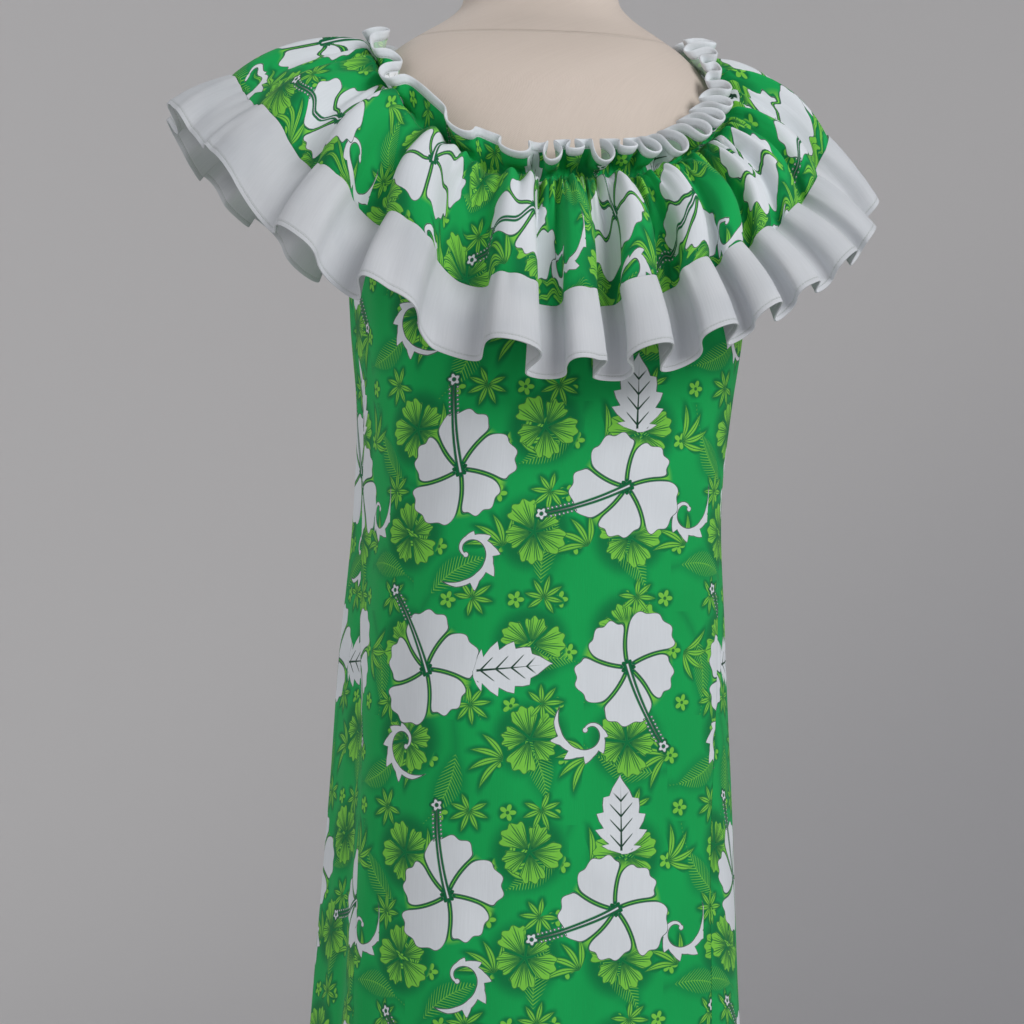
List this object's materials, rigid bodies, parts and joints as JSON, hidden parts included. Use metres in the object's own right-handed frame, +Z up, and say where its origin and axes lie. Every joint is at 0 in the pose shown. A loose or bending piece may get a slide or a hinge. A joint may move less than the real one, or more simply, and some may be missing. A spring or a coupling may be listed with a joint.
{
  "type": "holoku on a limbless dress form",
  "caption": "Long printed holoku with a gathered neck flounce and a plain ruffle below it, worn by a limbless dress form on a round stand.",
  "frame": {"origin": "centre of the stand base's underside, on the floor under the pole", "axes": "+Z up, the front of the gown faces -Y, and +X is the wearer's left"},
  "size_m": [0.5494, 0.5174, 1.4893],
  "materials": {
    "printed_cotton": "matte printed weave",
    "white_cotton": "matte plain weave",
    "linen": "matte weave",
    "stand_metal": "satin"
  },
  "bodies": {
    "root": {"front_panel": "printed_cotton", "back_panel": "printed_cotton", "neck_flounce": "printed_cotton", "white_ruffle": "white_cotton", "neck_binding": "white_cotton", "form_torso": "linen", "form_neck_cap": "linen", "stand_pole": "stand_metal", "stand_socket": "stand_metal", "stand_base": "stand_metal"}
  },
  "joints": []
}
